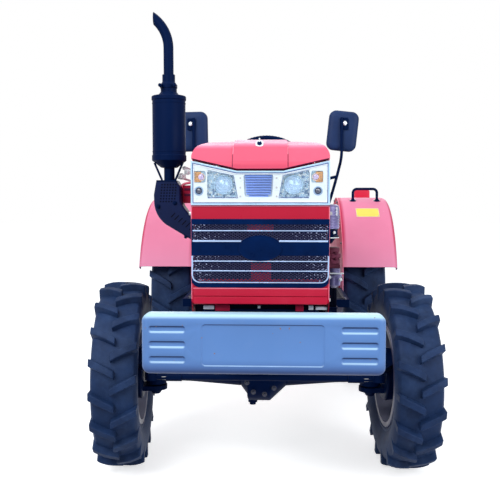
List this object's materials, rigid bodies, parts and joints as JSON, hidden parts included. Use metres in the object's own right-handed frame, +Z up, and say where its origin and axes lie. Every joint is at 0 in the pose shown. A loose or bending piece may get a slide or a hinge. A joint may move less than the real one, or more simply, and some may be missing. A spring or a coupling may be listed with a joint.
{
  "type": "farm tractor",
  "caption": "Compact four-wheel-drive farm tractor with an open driver's station, pressed front bumper, upright exhaust, lugged tyres and a rear three-point linkage.",
  "frame": {"origin": "on the ground, midway between the bumper's face and the ends of the lower links, on the centre plane", "axes": "+Z up, -Y towards the front, +X towards the driver's left"},
  "size_m": [1.448, 3.024, 1.8829],
  "materials": {
    "red_paint": "gloss",
    "slate_paint": "satin",
    "black_paint": "satin",
    "engine_paint": "satin",
    "bright_steel": "brushed",
    "bright_trim": "polished",
    "wheel_paint": "satin",
    "tyre_rubber": "matte",
    "black_plastic": "matte",
    "clear_lens": "polished",
    "amber_lens": "gloss",
    "red_lens": "gloss",
    "seat_vinyl": "satin"
  },
  "bodies": {
    "chassis": {"front_frame": "black_paint", "front_bumper": "slate_paint", "bumper_arms": "slate_paint", "front_axle": "black_paint", "engine": "engine_paint", "engine_left_side": "engine_paint", "engine_right_side": "engine_paint", "radiator": "black_paint", "muffler": "black_paint", "exhaust_elbow": "black_paint", "front_mask": "red_paint", "grille": "black_plastic", "grille_mesh": "black_plastic", "lamp_panel": "bright_trim", "headlamp_lenses": "clear_lens", "turn_lenses": "amber_lens", "dash_cowl": "red_paint", "steering_column": "black_paint", "bell_housing": "red_paint", "gearbox": "red_paint", "transfer_case": "red_paint", "rear_axle": "red_paint", "front_drive_shaft": "black_paint", "platform": "black_paint", "fenders": "red_paint", "grab_handles": "black_paint", "tail_lamps": "red_lens", "seat_base": "black_paint", "seat_cushion": "seat_vinyl", "seat_back": "seat_vinyl", "control_levers": "black_paint", "mirror_arms": "black_paint", "mirrors": "black_plastic", "lift_housing": "red_paint", "link_brackets": "black_paint", "drawbar": "black_paint", "pedals": "black_paint"},
    "hood": {"hood": "red_paint"},
    "fan": {"cooling_fan": "black_paint"},
    "steering_wheel": {"steering_wheel": "black_plastic"},
    "left_knuckle": {"knuckle_left": "black_paint"},
    "right_knuckle": {"knuckle_right": "black_paint"},
    "tie_rod": {"tie_rod": "black_paint"},
    "front_wheel_left": {"front_rim_left": "wheel_paint", "front_tyre_left": "tyre_rubber"},
    "front_wheel_right": {"front_rim_right": "wheel_paint", "front_tyre_right": "tyre_rubber"},
    "rear_wheel_left": {"rear_rim_left": "wheel_paint", "rear_tyre_left": "tyre_rubber"},
    "rear_wheel_right": {"rear_rim_right": "wheel_paint", "rear_tyre_right": "tyre_rubber"},
    "lift_arms": {"lift_arms": "black_paint"},
    "lower_link_left": {"lower_link_left": "black_paint"},
    "lower_link_right": {"lower_link_right": "black_paint"},
    "lift_rod_left": {"lift_rod_left": "black_paint"},
    "lift_rod_right": {"lift_rod_right": "black_paint"},
    "top_link": {"top_link": "black_paint"},
    "pto_shaft": {"pto_shaft": "bright_steel"}
  },
  "joints": [
    {"name": "hood_lift", "type": "hinge", "parent": "chassis", "child": "hood", "pos_m": [0, -0.23601, 1.299], "axis": [-1, 0, 0], "range_deg": [0, 60]},
    {"name": "fan_spin", "type": "hinge", "parent": "chassis", "child": "fan", "pos_m": [0, -1.00201, 0.83], "axis": [0, 1, 0], "continuous": true},
    {"name": "steering_wheel_turn", "type": "hinge", "parent": "chassis", "child": "steering_wheel", "pos_m": [0, 0.05799, 1.304], "axis": [0, 0.6157, 0.788], "continuous": true},
    {"name": "left_steer", "type": "hinge", "parent": "chassis", "child": "left_knuckle", "pos_m": [0.445, -0.86201, 0.3775], "axis": [0, 0, 1], "range_deg": [-39, 31]},
    {"name": "right_steer", "type": "hinge", "parent": "chassis", "child": "right_knuckle", "pos_m": [-0.445, -0.86201, 0.3775], "axis": [0, 0, 1], "range_deg": [-39, 31]},
    {"name": "tie_rod_swing", "type": "hinge", "parent": "left_knuckle", "child": "tie_rod", "pos_m": [0.4579, -1.04656, 0.405], "axis": [0, 0, 1], "range_deg": [-31, 39]},
    {"name": "front_left_spin", "type": "hinge", "parent": "left_knuckle", "child": "front_wheel_left", "pos_m": [0.57319, -0.85304, 0.3775], "axis": [0.9976, 0.0698, 0], "continuous": true},
    {"name": "front_right_spin", "type": "hinge", "parent": "right_knuckle", "child": "front_wheel_right", "pos_m": [-0.57319, -0.87097, 0.3775], "axis": [0.9976, 0.0698, 0], "continuous": true},
    {"name": "rear_left_spin", "type": "hinge", "parent": "chassis", "child": "rear_wheel_left", "pos_m": [0.5525, 0.73799, 0.525], "axis": [1, 0, 0], "continuous": true},
    {"name": "rear_right_spin", "type": "hinge", "parent": "chassis", "child": "rear_wheel_right", "pos_m": [-0.5525, 0.73799, 0.525], "axis": [1, 0, 0], "continuous": true},
    {"name": "hitch_lift", "type": "hinge", "parent": "chassis", "child": "lift_arms", "pos_m": [0, 0.82799, 0.84], "axis": [1, 0, 0], "range_deg": [0, 42]},
    {"name": "left_link_lift", "type": "hinge", "parent": "chassis", "child": "lower_link_left", "pos_m": [0.235, 0.85799, 0.44], "axis": [1, 0, 0], "range_deg": [0, 42]},
    {"name": "right_link_lift", "type": "hinge", "parent": "chassis", "child": "lower_link_right", "pos_m": [-0.235, 0.85799, 0.44], "axis": [1, 0, 0], "range_deg": [0, 42]},
    {"name": "left_rod_swing", "type": "hinge", "parent": "lift_arms", "child": "lift_rod_left", "pos_m": [0.235, 1.07253, 0.78802], "axis": [1, 0, 0], "range_deg": [-42, 0]},
    {"name": "right_rod_swing", "type": "hinge", "parent": "lift_arms", "child": "lift_rod_right", "pos_m": [-0.235, 1.07253, 0.78802], "axis": [1, 0, 0], "range_deg": [-42, 0]},
    {"name": "top_link_swing", "type": "hinge", "parent": "chassis", "child": "top_link", "pos_m": [0, 0.94199, 0.8], "axis": [-1, 0, 0], "range_deg": [0, 115]},
    {"name": "pto_spin", "type": "hinge", "parent": "chassis", "child": "pto_shaft", "pos_m": [0, 0.91799, 0.56], "axis": [0, 1, 0], "continuous": true}
  ],
  "couplings": [
    {"joint": "right_steer", "follows": "left_steer", "ratio": 1},
    {"joint": "tie_rod_swing", "follows": "left_steer", "ratio": -1},
    {"joint": "left_link_lift", "follows": "hitch_lift", "ratio": 1},
    {"joint": "right_link_lift", "follows": "hitch_lift", "ratio": 1},
    {"joint": "left_rod_swing", "follows": "hitch_lift", "ratio": -1},
    {"joint": "right_rod_swing", "follows": "hitch_lift", "ratio": -1}
  ]
}
